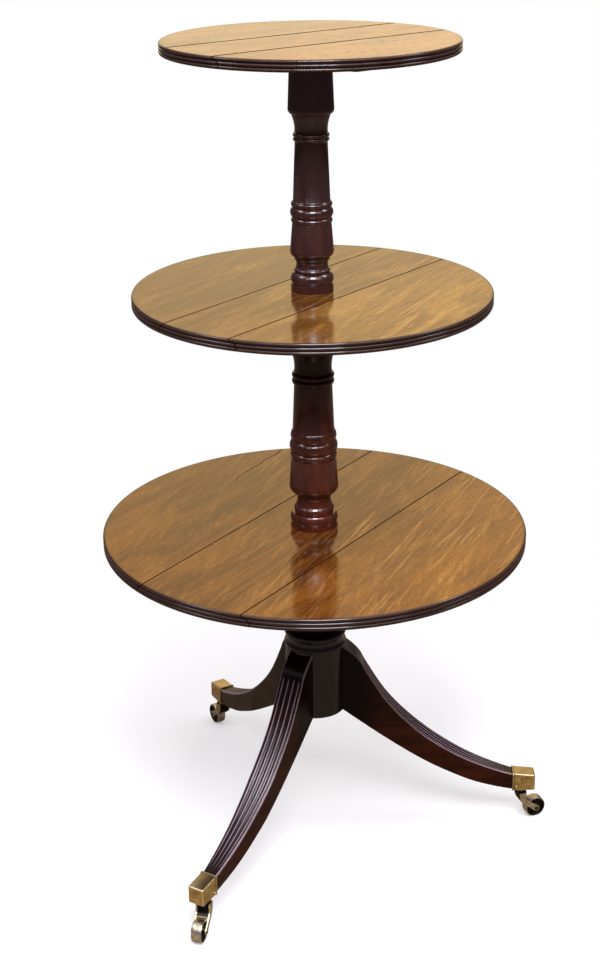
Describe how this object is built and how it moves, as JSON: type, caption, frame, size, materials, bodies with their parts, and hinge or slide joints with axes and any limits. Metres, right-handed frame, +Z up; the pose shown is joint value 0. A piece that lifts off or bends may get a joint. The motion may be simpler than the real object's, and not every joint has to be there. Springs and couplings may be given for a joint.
{
  "type": "tiered dumbwaiter table",
  "caption": "Round dumbwaiter table: reeded drop-leaf tiers that turn on a ringed column, over a tripod of sabre legs with brass caps and casters.",
  "frame": {"origin": "on the floor, under the axis of the column", "axes": "+Z up along the column, +X out along the leg at the right of the picture, +Y away from its viewer"},
  "size_m": [0.6627, 0.629, 1.19],
  "materials": {
    "tier_boards": "polished mahogany, faded",
    "column": "polished dark mahogany",
    "legs": "polished dark mahogany",
    "bearers": "unpolished mahogany",
    "brackets": "waxed mahogany",
    "hinges": "dull iron",
    "screws": "dull iron",
    "strap": "dark wrought iron",
    "caps": "polished cast brass",
    "casters": "worn cast brass",
    "axles": "dull steel"
  },
  "bodies": {
    "stand": {"base_pillar": "column", "lower_column": "column", "upper_column": "column", "leg_strap": "strap", "right_leg": "legs", "right_cap": "caps", "front_leg": "legs", "front_cap": "caps", "back_leg": "legs", "back_cap": "caps"},
    "top_tier": {"top_centre_board": "tier_boards", "top_bearer": "bearers", "top_bracket_screws": "screws", "top_hinge_pins": "hinges", "top_fixed_hinge_flaps": "hinges"},
    "top_left_leaf": {"top_left_leaf": "tier_boards", "top_left_hinge_flaps": "hinges"},
    "top_left_bracket": {"top_left_bracket": "brackets"},
    "top_right_leaf": {"top_right_leaf": "tier_boards", "top_right_hinge_flaps": "hinges"},
    "top_right_bracket": {"top_right_bracket": "brackets"},
    "middle_tier": {"middle_centre_board": "tier_boards", "middle_bearer": "bearers", "middle_bracket_screws": "screws", "middle_hinge_pins": "hinges", "middle_fixed_hinge_flaps": "hinges"},
    "middle_left_leaf": {"middle_left_leaf": "tier_boards", "middle_left_hinge_flaps": "hinges"},
    "middle_left_bracket": {"middle_left_bracket": "brackets"},
    "middle_right_leaf": {"middle_right_leaf": "tier_boards", "middle_right_hinge_flaps": "hinges"},
    "middle_right_bracket": {"middle_right_bracket": "brackets"},
    "bottom_tier": {"bottom_centre_board": "tier_boards", "bottom_bearer": "bearers", "bottom_bracket_screws": "screws", "bottom_hinge_pins": "hinges", "bottom_fixed_hinge_flaps": "hinges"},
    "bottom_left_leaf": {"bottom_left_leaf": "tier_boards", "bottom_left_hinge_flaps": "hinges"},
    "bottom_left_bracket": {"bottom_left_bracket": "brackets"},
    "bottom_right_leaf": {"bottom_right_leaf": "tier_boards", "bottom_right_hinge_flaps": "hinges"},
    "bottom_right_bracket": {"bottom_right_bracket": "brackets"},
    "right_caster": {"right_caster_fork": "casters", "right_caster_axle": "axles"},
    "right_wheel": {"right_caster_wheel": "casters"},
    "front_caster": {"front_caster_fork": "casters", "front_caster_axle": "axles"},
    "front_wheel": {"front_caster_wheel": "casters"},
    "back_caster": {"back_caster_fork": "casters", "back_caster_axle": "axles"},
    "back_wheel": {"back_caster_wheel": "casters"}
  },
  "joints": [
    {"name": "top_tier_turn", "type": "hinge", "parent": "stand", "child": "top_tier", "pos_m": [0, 0, 1.175], "axis": [0, 0, 1], "continuous": true},
    {"name": "top_left_leaf_drop", "type": "hinge", "parent": "top_tier", "child": "top_left_leaf", "pos_m": [-0.03105, 0.04046, 1.1781], "axis": [0.7934, 0.6088, 0], "range_deg": [-90, 0]},
    {"name": "top_left_bracket_swing", "type": "hinge", "parent": "top_tier", "child": "top_left_bracket", "pos_m": [0.01421, 0.05704, 1.175], "axis": [0, 0, 1], "range_deg": [0, 90]},
    {"name": "top_right_leaf_drop", "type": "hinge", "parent": "top_tier", "child": "top_right_leaf", "pos_m": [0.03105, -0.04046, 1.1781], "axis": [-0.7934, -0.6088, 0], "range_deg": [-90, 0]},
    {"name": "top_right_bracket_swing", "type": "hinge", "parent": "top_tier", "child": "top_right_bracket", "pos_m": [0.05878, -0.00103, 1.175], "axis": [0, 0, -1], "range_deg": [0, 90]},
    {"name": "middle_tier_turn", "type": "hinge", "parent": "stand", "child": "middle_tier", "pos_m": [0, 0, 0.84], "axis": [0, 0, 1], "continuous": true},
    {"name": "middle_left_leaf_drop", "type": "hinge", "parent": "middle_tier", "child": "middle_left_leaf", "pos_m": [-0.04334, 0.03386, 0.8431], "axis": [0.6157, 0.788, 0], "range_deg": [-90, 0]},
    {"name": "middle_left_bracket_swing", "type": "hinge", "parent": "middle_tier", "child": "middle_left_bracket", "pos_m": [-0.00367, 0.06124, 0.84], "axis": [0, 0, 1], "range_deg": [0, 90]},
    {"name": "middle_right_leaf_drop", "type": "hinge", "parent": "middle_tier", "child": "middle_right_leaf", "pos_m": [0.04334, -0.03386, 0.8431], "axis": [-0.6157, -0.788, 0], "range_deg": [-90, 0]},
    {"name": "middle_right_bracket_swing", "type": "hinge", "parent": "middle_tier", "child": "middle_right_bracket", "pos_m": [0.06031, 0.01125, 0.84], "axis": [0, 0, -1], "range_deg": [0, 90]},
    {"name": "bottom_tier_turn", "type": "hinge", "parent": "stand", "child": "bottom_tier", "pos_m": [0, 0, 0.488], "axis": [0, 0, 1], "continuous": true},
    {"name": "bottom_left_leaf_drop", "type": "hinge", "parent": "bottom_tier", "child": "bottom_left_leaf", "pos_m": [-0.06798, 0.04585, 0.4911], "axis": [0.5592, 0.829, 0], "range_deg": [-90, 0]},
    {"name": "bottom_left_bracket_swing", "type": "hinge", "parent": "bottom_tier", "child": "bottom_left_bracket", "pos_m": [-0.03032, 0.07594, 0.488], "axis": [0, 0, 1], "range_deg": [0, 90]},
    {"name": "bottom_right_leaf_drop", "type": "hinge", "parent": "bottom_tier", "child": "bottom_right_leaf", "pos_m": [0.06798, -0.04585, 0.4911], "axis": [-0.5592, -0.829, 0], "range_deg": [-90, 0]},
    {"name": "bottom_right_bracket_swing", "type": "hinge", "parent": "bottom_tier", "child": "bottom_right_bracket", "pos_m": [0.08177, 0.00033, 0.488], "axis": [0, 0, -1], "range_deg": [0, 90]},
    {"name": "right_caster_swivel", "type": "hinge", "parent": "stand", "child": "right_caster", "pos_m": [0.3175, 0, 0.05], "axis": [0, 0, 1], "continuous": true},
    {"name": "right_wheel_roll", "type": "hinge", "parent": "right_caster", "child": "right_wheel", "pos_m": [0.34005, 0.00821, 0.0165], "axis": [0.342, -0.9397, 0], "continuous": true},
    {"name": "front_caster_swivel", "type": "hinge", "parent": "stand", "child": "front_caster", "pos_m": [-0.15875, -0.27496, 0.05], "axis": [0, 0, 1], "continuous": true},
    {"name": "front_wheel_roll", "type": "hinge", "parent": "front_caster", "child": "front_wheel", "pos_m": [-0.16496, -0.29814, 0.0165], "axis": [-0.9659, 0.2588, 0], "continuous": true},
    {"name": "back_caster_swivel", "type": "hinge", "parent": "stand", "child": "back_caster", "pos_m": [-0.15875, 0.27496, 0.05], "axis": [0, 0, 1], "continuous": true},
    {"name": "back_wheel_roll", "type": "hinge", "parent": "back_caster", "child": "back_wheel", "pos_m": [-0.17075, 0.29575, 0.0165], "axis": [0.866, 0.5, 0], "continuous": true}
  ]
}
